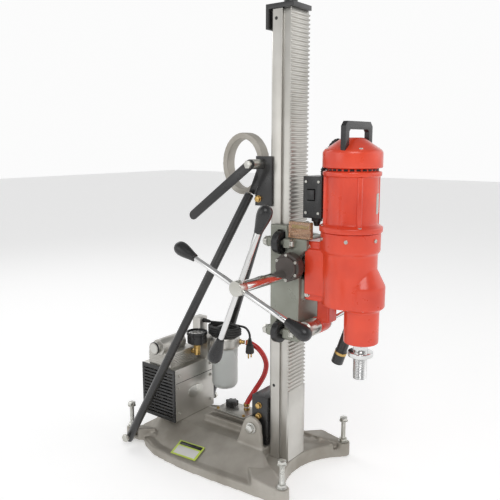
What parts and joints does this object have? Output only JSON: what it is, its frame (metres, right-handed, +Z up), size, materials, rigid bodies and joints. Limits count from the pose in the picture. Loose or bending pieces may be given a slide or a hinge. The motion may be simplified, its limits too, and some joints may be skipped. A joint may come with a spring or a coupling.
{
  "type": "core drill rig",
  "caption": "Core drilling stand: vacuum base, toothed column on a rear A-frame, hand-cranked carriage with rollers carrying a geared electric motor and threaded bit spindle.",
  "frame": {"origin": "floor plane, under the column's axis, on the base's flat pad", "axes": "+Z up the column, -Y towards the spindle, -X towards the feed handle"},
  "size_m": [0.441, 0.693, 1.1478],
  "materials": {
    "cast_aluminium": "as-cast, satin",
    "aluminium": "machined, satin",
    "orange_paint": "satin orange-red paint on an aluminium casting",
    "hammered_grey": "grey-green hammered paint on a casting",
    "black_paint": "satin black",
    "zinc_steel": "zinc plated",
    "chrome": "polished",
    "black_plastic": "gloss moulded",
    "black_rubber": "matte",
    "red_hose": "glossy PVC",
    "brown_case": "satin dark brown paint",
    "frosted_plastic": "translucent",
    "amber_acrylic": "clear amber",
    "lacquered_laminations": "copper-brown lacquer on steel laminations",
    "brass": "machined, satin",
    "printed_label": "plain vinyl, no lettering"
  },
  "bodies": {
    "base": {"base_casting": "cast_aluminium", "base_seal": "black_rubber", "foot_pivot_bolt": "zinc_steel", "stay_pin_left": "zinc_steel", "stay_pin_right": "zinc_steel", "slot_cover": "aluminium", "pump_housing": "aluminium", "pump_grille": "black_plastic", "pump_head": "aluminium", "filter_jar": "frosted_plastic", "jar_lid": "aluminium", "gauge_case": "black_plastic", "vacuum_hose": "red_hose", "cord_gland": "black_rubber", "cord_lead": "black_rubber", "cord_hank": "black_rubber", "cord_plug": "black_rubber"},
    "level_screw_front_left": {"level_screw_front_left": "zinc_steel"},
    "level_screw_front_right": {"level_screw_front_right": "zinc_steel"},
    "level_screw_rear_left": {"level_screw_rear_left": "zinc_steel"},
    "level_screw_rear_right": {"level_screw_rear_right": "zinc_steel"},
    "valve_knob": {"valve_knob": "black_plastic"},
    "pump_fan": {"pump_fan": "black_plastic"},
    "gauge_needle": {"gauge_needle": "black_plastic"},
    "column": {"column_profile": "aluminium", "feed_rack": "aluminium", "column_cap": "black_paint", "foot_block": "black_paint"},
    "jack_screw": {"jack_screw": "zinc_steel"},
    "bracket": {"brace_bracket": "black_paint", "carry_ring": "aluminium", "bracket_pivot_bolt": "zinc_steel"},
    "clamp_lever": {"clamp_lever": "black_paint"},
    "brace": {"stay_left": "black_paint", "stay_right": "black_paint", "brace_head": "black_paint"},
    "carriage": {"carriage_frame": "hammered_grey", "gear_case": "brown_case", "spirit_level": "amber_acrylic", "motor_housing": "orange_paint", "motor_cap": "orange_paint", "motor_handle": "black_plastic", "switch_box": "black_plastic", "stator": "lacquered_laminations", "gearbox_housing": "orange_paint", "spindle_bearing": "zinc_steel", "mount_barrel": "zinc_steel", "water_pipe": "black_paint"},
    "roller_upper_left": {"roller_upper_left": "black_plastic"},
    "roller_upper_right": {"roller_upper_right": "black_plastic"},
    "roller_lower_left": {"roller_lower_left": "black_plastic"},
    "roller_lower_right": {"roller_lower_right": "black_plastic"},
    "pinion_shaft": {"pinion_shaft": "zinc_steel"},
    "feed_handle": {"handle_shaft": "chrome", "handle_spokes": "chrome"},
    "mount_lever": {"mount_lever": "chrome"},
    "switch_rocker": {"switch_rocker": "black_plastic"},
    "spindle": {"spindle": "chrome"},
    "layshaft": {"layshaft": "zinc_steel"},
    "armature": {"armature": "zinc_steel"}
  },
  "joints": [
    {"name": "column_tilt", "type": "hinge", "parent": "base", "child": "column", "pos_m": [0, 0.065, 0.108], "axis": [-1, 0, 0], "range_deg": [0, 10]},
    {"name": "bracket_slide", "type": "slide", "parent": "column", "child": "bracket", "axis": [0, 0, 1], "range_m": [0, 0.0545]},
    {"name": "brace_hinge", "type": "hinge", "parent": "bracket", "child": "brace", "pos_m": [0, 0.05, 0.762], "axis": [-1, 0, 0], "range_deg": [-0.8, 0]},
    {"name": "clamp_lever_swing", "type": "hinge", "parent": "bracket", "child": "clamp_lever", "pos_m": [-0.085, 0.05, 0.762], "axis": [1, 0, 0], "range_deg": [-30, 60]},
    {"name": "level_screw_front_left_travel", "type": "slide", "parent": "base", "child": "level_screw_front_left", "axis": [0, 0, 1], "range_m": [-0.003, 0.03]},
    {"name": "level_screw_front_right_travel", "type": "slide", "parent": "base", "child": "level_screw_front_right", "axis": [0, 0, 1], "range_m": [-0.003, 0.03]},
    {"name": "level_screw_rear_left_travel", "type": "slide", "parent": "base", "child": "level_screw_rear_left", "axis": [0, 0, 1], "range_m": [-0.003, 0.03]},
    {"name": "level_screw_rear_right_travel", "type": "slide", "parent": "base", "child": "level_screw_rear_right", "axis": [0, 0, 1], "range_m": [-0.003, 0.03]},
    {"name": "valve_knob_turn", "type": "hinge", "parent": "base", "child": "valve_knob", "pos_m": [0.057, 0.222, 0.08], "axis": [0, 0, 1], "range_deg": [0, 720]},
    {"name": "pump_fan_spin", "type": "hinge", "parent": "base", "child": "pump_fan", "pos_m": [-0.067, 0.368, 0.1341], "axis": [1, 0, 0], "continuous": true},
    {"name": "gauge_needle_swing", "type": "hinge", "parent": "base", "child": "gauge_needle", "pos_m": [0.009, 0.306, 0.285], "axis": [0, 0, -1], "range_deg": [0, 270]},
    {"name": "jack_screw_travel", "type": "slide", "parent": "column", "child": "jack_screw", "axis": [0, 0, 1], "range_m": [-0.006, 0.03]},
    {"name": "carriage_slide", "type": "slide", "parent": "column", "child": "carriage", "axis": [0, 0, 1], "range_m": [-0.27, 0.43]},
    {"name": "roller_upper_left_spin", "type": "hinge", "parent": "carriage", "child": "roller_upper_left", "pos_m": [-0.05405, -0.013, 0.585], "axis": [0, 1, 0], "continuous": true},
    {"name": "roller_upper_right_spin", "type": "hinge", "parent": "carriage", "child": "roller_upper_right", "pos_m": [0.05405, -0.013, 0.585], "axis": [0, 1, 0], "continuous": true},
    {"name": "roller_lower_left_spin", "type": "hinge", "parent": "carriage", "child": "roller_lower_left", "pos_m": [-0.05405, -0.013, 0.372], "axis": [0, 1, 0], "continuous": true},
    {"name": "roller_lower_right_spin", "type": "hinge", "parent": "carriage", "child": "roller_lower_right", "pos_m": [0.05405, -0.013, 0.372], "axis": [0, 1, 0], "continuous": true},
    {"name": "pinion_spin", "type": "hinge", "parent": "carriage", "child": "pinion_shaft", "pos_m": [0, -0.0462, 0.5325], "axis": [1, 0, 0], "continuous": true},
    {"name": "feed_handle_spin", "type": "hinge", "parent": "carriage", "child": "feed_handle", "pos_m": [-0.238, -0.03713, 0.51439], "axis": [1, 0, 0], "continuous": true},
    {"name": "mount_lever_swing", "type": "hinge", "parent": "carriage", "child": "mount_lever", "pos_m": [0.04, -0.0845, 0.388], "axis": [1, 0, 0], "range_deg": [-60, 10]},
    {"name": "motor_switch", "type": "hinge", "parent": "carriage", "child": "switch_rocker", "pos_m": [-0.0275, -0.08, 0.6955], "axis": [0, 1, 0], "range_deg": [-8, 8]},
    {"name": "spindle_spin", "type": "hinge", "parent": "carriage", "child": "spindle", "pos_m": [0, -0.199, 0.47], "axis": [0, 0, 1], "continuous": true},
    {"name": "layshaft_spin", "type": "hinge", "parent": "carriage", "child": "layshaft", "pos_m": [0, -0.13525, 0.5], "axis": [0, 0, 1], "continuous": true},
    {"name": "armature_spin", "type": "hinge", "parent": "carriage", "child": "armature", "pos_m": [0, -0.166, 0.65], "axis": [0, 0, 1], "continuous": true}
  ],
  "couplings": [
    {"joint": "bracket_slide", "follows": "column_tilt", "m_per_rad": 0.30789},
    {"joint": "brace_hinge", "follows": "column_tilt", "ratio": -0.07555},
    {"joint": "pinion_spin", "follows": "carriage_slide", "rad_per_m": -55.556},
    {"joint": "feed_handle_spin", "follows": "carriage_slide", "rad_per_m": 111.11},
    {"joint": "layshaft_spin", "follows": "spindle_spin", "ratio": -2},
    {"joint": "armature_spin", "follows": "spindle_spin", "ratio": 6.2},
    {"joint": "roller_upper_left_spin", "follows": "carriage_slide", "rad_per_m": 38.462},
    {"joint": "roller_upper_right_spin", "follows": "carriage_slide", "rad_per_m": -38.462},
    {"joint": "roller_lower_left_spin", "follows": "carriage_slide", "rad_per_m": 38.462},
    {"joint": "roller_lower_right_spin", "follows": "carriage_slide", "rad_per_m": -38.462}
  ]
}
